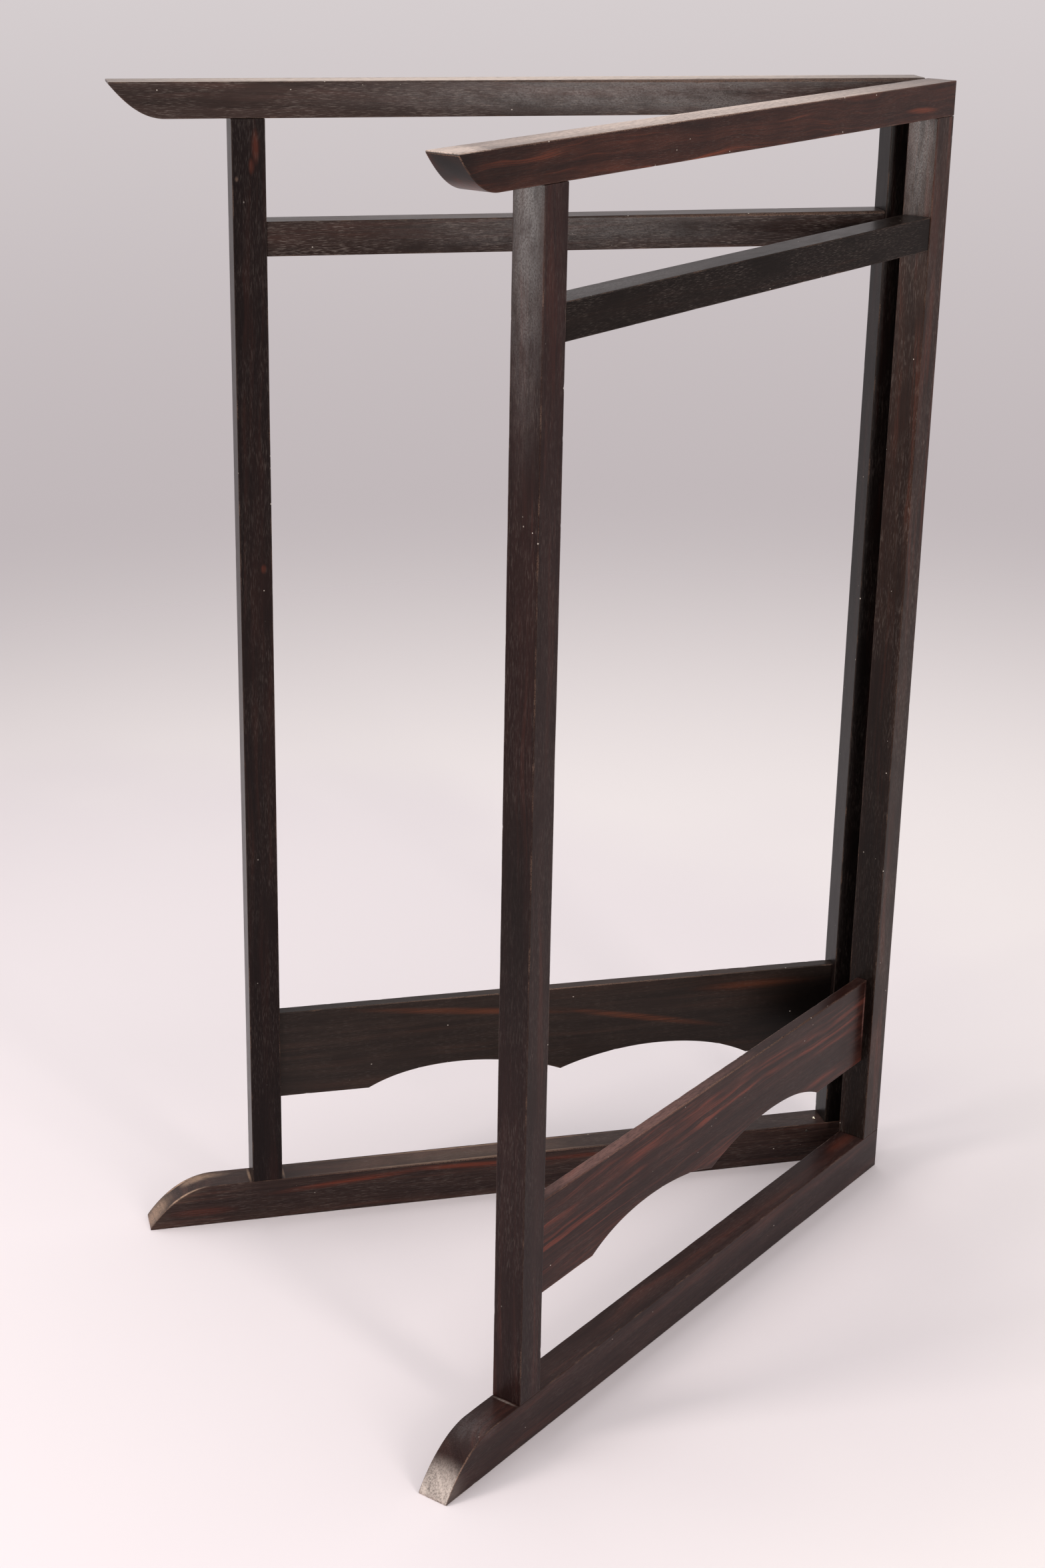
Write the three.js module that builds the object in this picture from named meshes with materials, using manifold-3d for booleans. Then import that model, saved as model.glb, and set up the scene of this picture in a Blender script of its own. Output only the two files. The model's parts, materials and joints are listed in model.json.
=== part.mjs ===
// A two-panel folding kimono stand in dark hardwood, in millimetres, +Z up.
//
// Each panel is a frame: a base rail with a curved toe, two posts, a mid rail, a thin wave-cut board
// and a top rail with an undercut tip. Mortises and tenons join them, and the board's ends are housed
// in grooves. Two butt hinges join the panels, and their pins stand at the corner where the inner
// faces meet the end faces, so the stand folds face to face.
//
// A panel is drawn in its own frame: X runs along it from the hinge pin, Y from its inner face to its
// outer face, and Z up. The left panel is the right one mirrored. The stand's origin is on the floor,
// in the middle of its footprint, and the V opens towards -Y.

import * as THREE from 'three';
import { mergeVertices } from 'three/addons/utils/BufferGeometryUtils.js';
import Module from 'manifold-3d';

const wasm = await Module();
wasm.setup();

// ---- Driving dimensions ------------------------------------------------------------------------

// The stand as it is set up
const standHeight = 1500;
const spreadAngle = 40; // degrees between the panels
const frameDepth = 40; // posts and rails, from inner face to outer face
const pinToEnd = 1.1; // hinge pin's axis to the panels' end faces
const pinToInner = 0.9; // hinge pin's axis to the panels' inner faces
const arris = 0.8; // softening of every long wooden edge

// Posts
const hingePostWidth = 41;
const outerPostWidth = 40;
const clearWidth = 779; // between the two posts

// Base rail, with the toe that curves down past the outer post
const baseRailHeight = 58;
const toeOverhang = 140;
const toeRun = 91; // length of the curve, along the rail
const toeShoulder = 43; // how long the curve stays level at its start
const toeHeel = 18; // how far back the curve's slope is aimed at its end
const toeHeelRise = 28;
const toeNose = 2; // blunt edge left at the very end

// Top rail, with the tip that is undercut past the outer post
const topRailHeight = 42;
const tipOverhang = 140;
const tipRun = 65;
const tipShoulder = 27;
const tipHeel = 18;
const tipHeelRise = 24;
const tipNose = 2;

// Mid rail
const hangingGap = 119; // clear height between the mid rail and the top rail
const midRailHeight = 41;
const midRailDepth = 38;

// Wave-cut board: two arches that meet in a cusp, between level ends
const boardRise = 119.5; // clear height between the base rail and the board's level ends
const boardHeight = 123.5;
const boardThickness = 16;
const boardSetback = 11; // from the frame's inner face
const archSpan = 268; // one arch, from the cusp to its outer end
const cuspRise = 1.5;
const archInnerHandle = [70, 30]; // along from the cusp, and up from the level ends
const archOuterHandle = [190, 42];

// Joinery
const jointGap = 0.3; // between two wooden faces that meet
const tenonThickness = 14;
const postTenonShoulder = 7; // post's side to the side of its tenon
const baseTenonLength = 34;
const topTenonLength = 26;
const midTenonLength = 24;
const midTenonShoulder = 6; // mid rail's top to the top of its tenon
const housingDepth = 9; // groove that takes the board's end

// Butt hinges
const hingeHeights = [342, 1206]; // middle of each hinge, above the floor
const leafHeight = 64;
const leafReach = 34; // pin's axis to the leaf's far edge
const leafThickness = 1.6;
const knuckleRadius = 3;
const knuckleCount = 5;
const knuckleGap = 0.3;
const pinRadius = 1.5;
const pinClearance = 0.1;
const pinHeadRadius = 2.5;
const pinHeadHeight = 1.8;
const runningClearance = 0.4; // round a turning knuckle
const leafFit = 0.3; // round a leaf in its recess

// Countersunk screws
const screwLength = 16;
const screwHeadRadius = 3;
const screwHeadHeight = 2.2;
const screwShankRadius = 1.5;
const screwFit = 0.3;
const screwSlotWidth = 0.8;
const screwSlotDepth = 0.8;
const screwSlotTurns = [12, 64, 131]; // degrees, as each screw was left
const screwEdgeMargin = 11; // outer screws to the leaf's ends
const screwNearReach = 13; // pin's axis to the outer screws
const screwFarReach = 25; // pin's axis to the middle screw

// The tack and the nail in the left base rail
const tackBesidePost = 10.5; // from the hinge post's side
const tackInset = 16; // from the rail's inner face
const tackHeadRadius = 2.6;
const tackHeadHeight = 1.7;
const tackLength = 14;
const tackShankRadius = 0.8;
const nailBesidePost = 27; // from the hinge post's side
const nailBelowTop = 10; // from the rail's top face
const nailHeadRadius = 2;
const nailHeadHeight = 0.6;
const nailLength = 22;
const nailShankRadius = 1;
const nailFit = 0.3;

// How far a cutter runs past the face that it opens, and a joined block into what it joins
const overrun = 1;

// Steps in curves
const curveSteps = 14;
const roundSides = 24;
const bevelSteps = 2;

// ---- Levels and stations that follow from them -------------------------------------------------

const innerFace = pinToInner;
const outerFace = pinToInner + frameDepth;
const middleDepth = pinToInner + frameDepth / 2;
const hingePostInside = pinToEnd + hingePostWidth;
const outerPostInside = hingePostInside + clearWidth;
const outerPostOutside = outerPostInside + outerPostWidth;
const toeEnd = outerPostOutside + toeOverhang;
const tipEnd = outerPostOutside + tipOverhang;
const topRailUnderside = standHeight - topRailHeight;
const midRailTop = topRailUnderside - hangingGap;
const midRailUnderside = midRailTop - midRailHeight;
const boardUnderside = baseRailHeight + boardRise;
const boardTop = boardUnderside + boardHeight;
const boardInner = innerFace + boardSetback;
const boardOuter = boardInner + boardThickness;
const boardMiddle = (hingePostInside + outerPostInside) / 2;
const halfSpread = THREE.MathUtils.degToRad(spreadAngle / 2);

// ---- Materials ---------------------------------------------------------------------------------

const frameWood = { color: 0x3a2a26, roughness: 0.42, metalness: 0 };
const boardWood = { color: 0x4a2e26, roughness: 0.4, metalness: 0 };
const hingeBrass = { color: 0xa8843f, roughness: 0.38, metalness: 1 };
const screwBrass = { color: 0xb59550, roughness: 0.32, metalness: 1 };
const tackBrass = { color: 0xd8c79a, roughness: 0.2, metalness: 1 };
const nailIron = { color: 0x2c2826, roughness: 0.6, metalness: 1 };

// ---- Solids ------------------------------------------------------------------------------------

// A closed three.js geometry as a solid that can be joined and cut.
function solidOf(geometry) {
  geometry.deleteAttribute('normal');
  geometry.deleteAttribute('uv');
  const merged = mergeVertices(geometry, 1e-4);
  const mesh = new wasm.Mesh({
    numProp: 3,
    vertProperties: new Float32Array(merged.attributes.position.array),
    triVerts: new Uint32Array(merged.index.array),
  });
  return new wasm.Manifold(mesh);
}

// A solid back as a geometry. A mirrored one has its Y turned round and its faces turned back.
function geometryOf(solid, mirrored) {
  const mesh = solid.getMesh();
  const positions = new Float32Array(mesh.vertProperties);
  const triangles = new Uint32Array(mesh.triVerts);
  if (mirrored) {
    for (let i = 1; i < positions.length; i += 3) {
      positions[i] = -positions[i];
    }
    for (let i = 0; i < triangles.length; i += 3) {
      [triangles[i], triangles[i + 1]] = [triangles[i + 1], triangles[i]];
    }
  }
  const geometry = new THREE.BufferGeometry();
  geometry.setAttribute('position', new THREE.BufferAttribute(positions, 3));
  geometry.setIndex(new THREE.BufferAttribute(triangles, 1));
  geometry.computeVertexNormals();
  return geometry;
}

// A block between two corners.
function block([x0, x1], [y0, y1], [z0, z1]) {
  const geometry = new THREE.BoxGeometry(x1 - x0, y1 - y0, z1 - z0);
  geometry.translate((x0 + x1) / 2, (y0 + y1) / 2, (z0 + z1) / 2);
  return solidOf(geometry);
}

// An upright round bar about the hinge pin's axis.
function uprightRound(radius, [z0, z1]) {
  const geometry = new THREE.CylinderGeometry(radius, radius, z1 - z0, roundSides);
  geometry.rotateX(Math.PI / 2);
  geometry.translate(0, 0, (z0 + z1) / 2);
  return solidOf(geometry);
}

// A turned piece: [radius, height] points, from the axis round to the axis again, spun about +Y.
function turned(points) {
  const profile = points.map(([radius, height]) => new THREE.Vector2(radius, height));
  return new THREE.LatheGeometry(profile, roundSides);
}

// A rectangle with rounded corners, which is the section of a post or of the mid rail.
function softRectangle([x0, x1], [y0, y1], radius) {
  const shape = new THREE.Shape();
  shape.moveTo(x0 + radius, y0);
  shape.lineTo(x1 - radius, y0);
  shape.absarc(x1 - radius, y0 + radius, radius, -Math.PI / 2, 0);
  shape.lineTo(x1, y1 - radius);
  shape.absarc(x1 - radius, y1 - radius, radius, 0, Math.PI / 2);
  shape.lineTo(x0 + radius, y1);
  shape.absarc(x0 + radius, y1 - radius, radius, Math.PI / 2, Math.PI);
  shape.lineTo(x0, y0 + radius);
  shape.absarc(x0 + radius, y0 + radius, radius, Math.PI, Math.PI * 1.5);
  return shape;
}

// A bar with soft long edges that stands upright.
function uprightBar(xs, ys, [z0, z1]) {
  const options = { depth: z1 - z0, bevelEnabled: false, curveSegments: bevelSteps };
  const geometry = new THREE.ExtrudeGeometry(softRectangle(xs, ys, arris), options);
  geometry.translate(0, 0, z0);
  return solidOf(geometry);
}

// The same bar lying along X.
function levelBar([x0, x1], ys, zs) {
  const options = { depth: x1 - x0, bevelEnabled: false, curveSegments: bevelSteps };
  const geometry = new THREE.ExtrudeGeometry(softRectangle(ys, zs, arris), options);
  geometry.rotateX(Math.PI / 2);
  geometry.rotateZ(Math.PI / 2);
  geometry.translate(x0, 0, 0);
  return solidOf(geometry);
}

// A sawn outline in the X and Z of the panel, with its edges softened, as thick as ys says.
function sawnPlank(outline, [y0, y1]) {
  const geometry = new THREE.ExtrudeGeometry(outline, {
    depth: y1 - y0 - 2 * arris,
    bevelThickness: arris,
    bevelSize: arris,
    bevelOffset: -arris,
    bevelSegments: bevelSteps,
    curveSegments: curveSteps,
  });
  geometry.rotateX(Math.PI / 2);
  geometry.translate(0, y1 - arris, 0);
  return solidOf(geometry);
}

// ---- Joinery -----------------------------------------------------------------------------------

// A post's tenon, grown by a fit where it is the mortise that takes it.
function postTenon([x0, x1], zs, fit) {
  const half = tenonThickness / 2 + fit;
  const across = [x0 + postTenonShoulder - fit, x1 - postTenonShoulder + fit];
  return block(across, [middleDepth - half, middleDepth + half], zs);
}

// The mid rail's tenon or mortise, between two stations along the panel.
function midTenon(xs, fit) {
  const half = tenonThickness / 2 + fit;
  const low = midRailUnderside + midTenonShoulder - fit;
  const high = midRailTop - midTenonShoulder + fit;
  return block(xs, [middleDepth - half, middleDepth + half], [low, high]);
}

// The groove in a post that takes the board's end.
function boardHousing(xs) {
  const across = [boardInner - jointGap, boardOuter + jointGap];
  return block(xs, across, [boardUnderside - jointGap, boardTop + jointGap]);
}

const hingePostSpan = [pinToEnd, hingePostInside];
const outerPostSpan = [outerPostInside, outerPostOutside];
const depthSpan = [innerFace, outerFace];

// ---- Wooden pieces -----------------------------------------------------------------------------

// The rail under the posts: level, then curved down to a blunt toe on the floor.
function baseRail() {
  const outline = new THREE.Shape();
  outline.moveTo(pinToEnd, 0);
  outline.lineTo(toeEnd, 0);
  outline.lineTo(toeEnd, toeNose);
  outline.bezierCurveTo(
    toeEnd - toeHeel, toeHeelRise,
    toeEnd - toeRun + toeShoulder, baseRailHeight,
    toeEnd - toeRun, baseRailHeight,
  );
  outline.lineTo(pinToEnd, baseRailHeight);
  outline.closePath();
  let rail = sawnPlank(outline, depthSpan);
  const mortiseDepth = [baseRailHeight - baseTenonLength - jointGap, baseRailHeight + overrun];
  for (const span of [hingePostSpan, outerPostSpan]) {
    rail = rail.subtract(postTenon(span, mortiseDepth, jointGap));
  }
  return rail;
}

// The rail over the posts: level on top, its underside swept up to a pointed tip.
function topRail() {
  const outline = new THREE.Shape();
  outline.moveTo(pinToEnd, topRailUnderside);
  outline.lineTo(tipEnd - tipRun, topRailUnderside);
  outline.bezierCurveTo(
    tipEnd - tipRun + tipShoulder, topRailUnderside,
    tipEnd - tipHeel, standHeight - tipHeelRise,
    tipEnd, standHeight - tipNose,
  );
  outline.lineTo(tipEnd, standHeight);
  outline.lineTo(pinToEnd, standHeight);
  outline.closePath();
  let rail = sawnPlank(outline, depthSpan);
  const bottom = topRailUnderside - overrun;
  const mortiseDepth = [bottom, topRailUnderside + topTenonLength + jointGap];
  for (const span of [hingePostSpan, outerPostSpan]) {
    rail = rail.subtract(postTenon(span, mortiseDepth, jointGap));
  }
  return rail;
}

// A post between the rails, with a tenon at each end.
function post(span) {
  const foot = baseRailHeight + jointGap;
  const head = topRailUnderside - jointGap;
  const shaft = uprightBar(span, depthSpan, [foot, head]);
  const lower = postTenon(span, [baseRailHeight - baseTenonLength, foot + overrun], 0);
  const upper = postTenon(span, [head - overrun, topRailUnderside + topTenonLength], 0);
  return shaft.add(lower).add(upper);
}

// The post at the outer end, mortised and grooved on its inner side.
function outerPost() {
  const side = outerPostInside;
  return post(outerPostSpan)
    .subtract(midTenon([side - overrun, side + midTenonLength + jointGap], jointGap))
    .subtract(boardHousing([side - overrun, side + housingDepth]));
}

// The post at the hinges, mortised and grooved the same way, and let in for the leaves.
function hingePost() {
  const side = hingePostInside;
  let piece = post(hingePostSpan)
    .subtract(midTenon([side - midTenonLength - jointGap, side + overrun], jointGap))
    .subtract(boardHousing([side - housingDepth, side + overrun]));
  for (const height of hingeHeights) {
    piece = piece.subtract(hingeRecess(height));
    for (const place of screwPlaces(height)) {
      piece = piece.subtract(screwHole(place));
    }
  }
  return piece;
}

// The rail between the posts, with a tenon at each end.
function midRail() {
  const setBack = (frameDepth - midRailDepth) / 2;
  const across = [innerFace + setBack, outerFace - setBack];
  const ends = [hingePostInside + jointGap, outerPostInside - jointGap];
  const body = levelBar(ends, across, [midRailUnderside, midRailTop]);
  const near = midTenon([hingePostInside - midTenonLength, ends[0] + overrun], 0);
  const far = midTenon([ends[1] - overrun, outerPostInside + midTenonLength], 0);
  return body.add(near).add(far);
}

// The thin board: straight on top, cut below in two arches that meet in a cusp.
function waveBoard() {
  const start = hingePostInside - housingDepth + jointGap;
  const end = outerPostInside + housingDepth - jointGap;
  const [innerAlong, innerUp] = archInnerHandle;
  const [outerAlong, outerUp] = archOuterHandle;
  const outline = new THREE.Shape();
  outline.moveTo(start, boardUnderside);
  outline.lineTo(boardMiddle - archSpan, boardUnderside);
  outline.bezierCurveTo(
    boardMiddle - outerAlong, boardUnderside + outerUp,
    boardMiddle - innerAlong, boardUnderside + innerUp,
    boardMiddle, boardUnderside + cuspRise,
  );
  outline.bezierCurveTo(
    boardMiddle + innerAlong, boardUnderside + innerUp,
    boardMiddle + outerAlong, boardUnderside + outerUp,
    boardMiddle + archSpan, boardUnderside,
  );
  outline.lineTo(end, boardUnderside);
  outline.lineTo(end, boardTop);
  outline.lineTo(start, boardTop);
  outline.closePath();
  return sawnPlank(outline, [boardInner, boardOuter]);
}

// ---- Hinges ------------------------------------------------------------------------------------

// Bottom and top of one knuckle, counted from the bottom of a hinge.
function knuckleSpan(height, index) {
  const pitch = (leafHeight + knuckleGap) / knuckleCount;
  const bottom = height - leafHeight / 2 + index * pitch;
  return [bottom, bottom + pitch - knuckleGap];
}

// Where a leaf's three screws go: two near the knuckles, and one further out between them.
function screwPlaces(height) {
  const rise = leafHeight / 2 - screwEdgeMargin;
  return [
    [screwNearReach, height - rise],
    [screwFarReach, height],
    [screwNearReach, height + rise],
  ];
}

// A leaf let into the post's end face. It is cut away beside the other leaf's knuckles.
function hingeLeaf(height, firstKnuckle) {
  const low = height - leafHeight / 2;
  const high = height + leafHeight / 2;
  const through = [pinToEnd, pinToEnd + leafThickness];
  const clear = knuckleRadius + runningClearance;
  let leaf = block(through, [clear, leafReach], [low, high]);
  for (let index = firstKnuckle; index < knuckleCount; index += 2) {
    const span = knuckleSpan(height, index);
    leaf = leaf.add(block(through, [0, clear + overrun], span));
    leaf = leaf.add(uprightRound(knuckleRadius, span));
  }
  leaf = leaf.subtract(uprightRound(pinRadius + pinClearance, [low - overrun, high + overrun]));
  for (const place of screwPlaces(height)) {
    leaf = leaf.subtract(screwHole(place));
  }
  return leaf;
}

// What a post loses to a hinge: the leaf's recess, and a round channel for the knuckles and pin heads.
function hingeRecess(height) {
  const rise = leafHeight / 2 + leafFit;
  const through = [0, pinToEnd + leafThickness + leafFit];
  const recess = block(through, [-overrun, leafReach + leafFit], [height - rise, height + rise]);
  const reach = leafHeight / 2 + knuckleGap + pinHeadHeight + leafFit;
  const channel = uprightRound(knuckleRadius + runningClearance, [height - reach, height + reach]);
  return recess.add(channel);
}

// The pin, riveted over in a button at each end.
function hingePin(height) {
  const half = leafHeight / 2 + knuckleGap;
  const end = half + pinHeadHeight;
  const crown = pinHeadRadius * 0.6;
  const geometry = turned([
    [0, -end],
    [crown, -end + pinHeadHeight * 0.2],
    [pinHeadRadius, -half - pinHeadHeight * 0.3],
    [pinHeadRadius, -half],
    [pinRadius, -half],
    [pinRadius, half],
    [pinHeadRadius, half],
    [pinHeadRadius, half + pinHeadHeight * 0.3],
    [crown, end - pinHeadHeight * 0.2],
    [0, end],
  ]);
  geometry.rotateX(Math.PI / 2);
  geometry.translate(0, 0, height);
  return solidOf(geometry);
}

// Places a turned piece with its +Y driven into the post's end face, its head flush with the leaf.
function driveIn(geometry, [reach, height]) {
  geometry.rotateZ(-Math.PI / 2);
  geometry.translate(pinToEnd, reach, height);
  return solidOf(geometry);
}

// The hole for a screw, countersunk in the leaf and as long as the screw in the post.
function screwHole(place) {
  const shank = screwShankRadius + screwFit;
  const head = screwHeadRadius + screwFit;
  const cone = screwHeadHeight + screwFit;
  return driveIn(turned([
    [0, -overrun],
    [head, -overrun],
    [head, 0],
    [shank, cone],
    [shank, screwLength + screwFit],
    [0, screwLength + screwFit],
  ]), place);
}

// A slotted screw with a flat countersunk head and a tapered point, its slot turned as it was left.
function screw(place, slotTurn) {
  const body = driveIn(turned([
    [0, 0],
    [screwHeadRadius, 0],
    [screwShankRadius, screwHeadHeight],
    [screwShankRadius, screwLength * 0.7],
    [0, screwLength],
  ]), place);
  const cut = 2 * (screwSlotDepth + overrun);
  const slot = new THREE.BoxGeometry(screwSlotWidth, cut, 2 * (screwHeadRadius + overrun));
  slot.rotateY(THREE.MathUtils.degToRad(slotTurn));
  slot.translate(0, screwSlotDepth - cut / 2, 0);
  return body.subtract(driveIn(slot, place));
}

// ---- The tack and the nail ---------------------------------------------------------------------

// A round-headed tack in the base rail's top face.
function tack() {
  return standTack(turned([
    [0, -tackLength],
    [tackShankRadius, -tackLength * 0.8],
    [tackShankRadius, jointGap],
    [tackHeadRadius, jointGap],
    [tackHeadRadius * 0.8, jointGap + tackHeadHeight * 0.6],
    [tackHeadRadius * 0.4, jointGap + tackHeadHeight * 0.93],
    [0, jointGap + tackHeadHeight],
  ]));
}

function tackHole() {
  const radius = tackShankRadius + nailFit;
  const bottom = -tackLength - nailFit;
  return standTack(turned([[0, bottom], [radius, bottom], [radius, overrun], [0, overrun]]));
}

// Turns a piece's +Y up and stands it where the tack goes.
function standTack(geometry) {
  geometry.rotateX(Math.PI / 2);
  geometry.translate(hingePostInside + tackBesidePost, innerFace + tackInset, baseRailHeight);
  return solidOf(geometry);
}

// A flat-headed nail in the base rail's inner face.
function nail() {
  return driveNail(turned([
    [0, -nailHeadHeight - jointGap],
    [nailHeadRadius, -nailHeadHeight - jointGap],
    [nailHeadRadius, -jointGap],
    [nailShankRadius, -jointGap],
    [nailShankRadius, nailLength * 0.85],
    [0, nailLength],
  ]));
}

function nailHole() {
  const radius = nailShankRadius + nailFit;
  const bottom = nailLength + nailFit;
  return driveNail(turned([[0, -overrun], [radius, -overrun], [radius, bottom], [0, bottom]]));
}

// Drives a piece's +Y into the rail where the nail goes.
function driveNail(geometry) {
  geometry.translate(hingePostInside + nailBesidePost, innerFace, baseRailHeight - nailBelowTop);
  return solidOf(geometry);
}

// ---- Assembly ----------------------------------------------------------------------------------

function named(name, solid, finish, mirrored) {
  const material = new THREE.MeshStandardMaterial(finish);
  const mesh = new THREE.Mesh(geometryOf(solid, mirrored), material);
  mesh.name = name;
  return mesh;
}

// One panel with its hinge leaves and screws. The left one also has the pins, the tack and the nail.
function panel(side) {
  const left = side === 'left';
  const group = new THREE.Group();
  const place = (name, solid, finish) => group.add(named(`${side}_${name}`, solid, finish, left));
  const rail = left ? baseRail().subtract(tackHole()).subtract(nailHole()) : baseRail();
  place('base_rail', rail, frameWood);
  place('hinge_post', hingePost(), frameWood);
  place('outer_post', outerPost(), frameWood);
  place('mid_rail', midRail(), frameWood);
  place('wave_board', waveBoard(), boardWood);
  place('top_rail', topRail(), frameWood);
  const levels = ['lower', 'upper'];
  hingeHeights.forEach((height, index) => {
    const level = levels[index];
    place(`${level}_hinge_leaf`, hingeLeaf(height, left ? 0 : 1), hingeBrass);
    screwPlaces(height).forEach((spot, number) => {
      const piece = screw(spot, screwSlotTurns[number]);
      place(`${level}_leaf_screw_${number + 1}`, piece, screwBrass);
    });
    if (left) {
      group.add(named(`${level}_hinge_pin`, hingePin(height), hingeBrass, left));
    }
  });
  if (left) {
    place('base_rail_tack', tack(), tackBrass);
    place('base_rail_nail', nail(), nailIron);
  }
  return group;
}

// The pin's distance behind the middle of the footprint, which runs from the toes to the hinged ends.
function pinSetBack() {
  const front = Math.max(toeEnd, tipEnd) * Math.cos(halfSpread) - innerFace * Math.sin(halfSpread);
  const back = outerFace * Math.sin(halfSpread) - pinToEnd * Math.cos(halfSpread);
  return (front - back) / 2;
}

const stand = new THREE.Group();
for (const side of ['left', 'right']) {
  const group = panel(side);
  const turn = side === 'left' ? -Math.PI / 2 - halfSpread : -Math.PI / 2 + halfSpread;
  group.rotation.z = turn;
  group.position.y = pinSetBack();
  stand.add(group);
}

export default stand;
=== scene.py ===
import json
from math import cos, pi, radians, sin

import bpy
import numpy as np
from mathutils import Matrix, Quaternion, Vector


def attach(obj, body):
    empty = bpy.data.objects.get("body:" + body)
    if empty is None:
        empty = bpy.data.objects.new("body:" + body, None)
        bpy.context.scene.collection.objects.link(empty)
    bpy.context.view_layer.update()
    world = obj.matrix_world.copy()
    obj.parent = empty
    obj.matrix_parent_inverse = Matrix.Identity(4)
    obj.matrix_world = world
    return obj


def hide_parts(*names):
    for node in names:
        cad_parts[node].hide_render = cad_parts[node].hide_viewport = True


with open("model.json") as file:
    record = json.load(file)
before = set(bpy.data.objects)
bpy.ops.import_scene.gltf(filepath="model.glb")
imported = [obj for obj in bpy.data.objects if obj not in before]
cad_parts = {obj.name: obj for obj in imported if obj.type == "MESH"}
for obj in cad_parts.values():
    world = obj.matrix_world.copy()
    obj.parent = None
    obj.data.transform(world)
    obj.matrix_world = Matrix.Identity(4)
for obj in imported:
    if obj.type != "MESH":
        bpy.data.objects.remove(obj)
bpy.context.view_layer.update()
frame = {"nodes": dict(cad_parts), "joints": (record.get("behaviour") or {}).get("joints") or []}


# ---- The camera ---------------------------------------------------------------------------------
# It stands at eye height beside the right panel's toe, and looks down across the open V.

eye = Vector((2.43886, -1.77899, 1.79907))
aim = Vector((-0.05512, -0.08096, 0.65935))
lens = 59.18  # mm, on a frame whose long side is 36 mm
roll = radians(1.127)

camera_data = bpy.data.cameras.new("camera")
camera_data.lens = lens
camera_data.sensor_width = 36
camera_data.clip_start = 0.05
camera_data.clip_end = 60
camera = bpy.data.objects.new("camera", camera_data)
camera.location = eye
camera.rotation_mode = "QUATERNION"
camera.rotation_quaternion = (aim - eye).to_track_quat("-Z", "Y") @ Quaternion((0, 0, 1), roll)
bpy.context.scene.collection.objects.link(camera)
bpy.context.scene.camera = camera
bpy.context.scene.view_settings.view_transform = "Standard"


# ---- The studio ---------------------------------------------------------------------------------
# A pale paper floor that fades into a grey surround. A large soft lamp hangs high above the stand,
# a tall one stands in front of it, and a smaller one on the right. The floor keeps its shadow.

class Wire:
    """An output socket. Arithmetic on it adds Math nodes, and node() adds a node of any kind."""

    def __init__(self, tree, socket=None):
        self.tree = tree
        self.socket = socket

    def node(self, kind, inputs=None, output=0, **settings):
        """Adds a node: its settings first, then the values or links of its sockets."""
        made = self.tree.nodes.new("ShaderNode" + kind)
        for name, value in settings.items():
            setattr(made, name, value)
        for name, value in (inputs or {}).items():
            if isinstance(value, Wire):
                self.tree.links.new(value.socket, made.inputs[name])
            else:
                made.inputs[name].default_value = value
        return Wire(self.tree, made.outputs[output] if len(made.outputs) else None)

    def math(self, operation, *terms):
        return self.node("Math", dict(enumerate(terms)), operation=operation)

    def __add__(self, other):
        return self.math("ADD", self, other)

    def __sub__(self, other):
        return self.math("SUBTRACT", self, other)

    def __rsub__(self, other):
        return self.math("SUBTRACT", other, self)

    def __mul__(self, other):
        return self.math("MULTIPLY", self, other)

    def __truediv__(self, other):
        return self.math("DIVIDE", self, other)

    def step(self, low, high):
        """0 at low and 1 at high, with a smooth rise between them. High may be the smaller one."""
        ends = {"Value": self, "From Min": low, "From Max": high}
        return self.node("MapRange", ends, interpolation_type="SMOOTHSTEP")

    def mix(self, without, with_it):
        """The first colour where this wire is 0, and the second where it is 1."""
        return self.node("Mix", {0: self, 6: without, 7: with_it}, output=2, data_type="RGBA")

    def point(self, x, y, z):
        return self.node("CombineXYZ", {0: x, 1: y, 2: z})

    def split(self, kind="SeparateXYZ"):
        """The three parts of a point, or of a colour."""
        first = self.node(kind, {0: self})
        return [Wire(self.tree, socket) for socket in first.socket.node.outputs]

    def length(self, x, y, z):
        """How far from the origin the point of these three lengths is."""
        where = self.point(x, y, z)
        return self.node("VectorMath", {0: where}, output="Value", operation="LENGTH")

    def noise(self, x, y, z, detail=2.0, roughness=0.5):
        """Soft noise about 0.5, with lumps one unit across."""
        inputs = {"Vector": self.point(x, y, z), "Detail": detail, "Roughness": roughness}
        return self.node("TexNoise", {**inputs, "Scale": 1.0})


def screen_colour(red, green, blue):
    """A colour given as a screen shows it, 0 to 255, in the linear light that shaders take."""
    seen = np.array((red, green, blue)) / 255
    light = np.where(seen <= 0.04045, seen / 12.92, ((seen + 0.055) / 1.055) ** 2.4)
    return (*light.tolist(), 1.0)


def clear_tree(owner):
    """A material's or the world's node tree, emptied, as a wire to start from."""
    owner.use_nodes = True
    owner.node_tree.nodes.clear()
    return Wire(owner.node_tree)


floor_radius = 8.0
rim_points = 96
paper_middle = (0.3, 0.45)
paper_fade = (1.5, 4.2)  # from its middle to where the paper starts to fade, and to where it ends
paper_near = screen_colour(240, 231, 234)
paper_far = screen_colour(247, 239, 239)
# painted shade on the floor: round this point the paper is painted a little darker
bright_from = (-0.7, -0.5)  # the paper is a little brighter away from here
bright_rise = (1.1, 1.9)  # how far away that starts, and is complete
cloud_size = 0.6
surround_low = screen_colour(193, 184, 186)
surround_high = screen_colour(219, 212, 213)
surround_rise = (-0.27, 0.03)  # slopes of the line of sight between which the grey turns lighter
surround_light = 0.63  # of the soft light that falls from all round
surround_tint = (1, 0.99, 0.985, 1)

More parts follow.
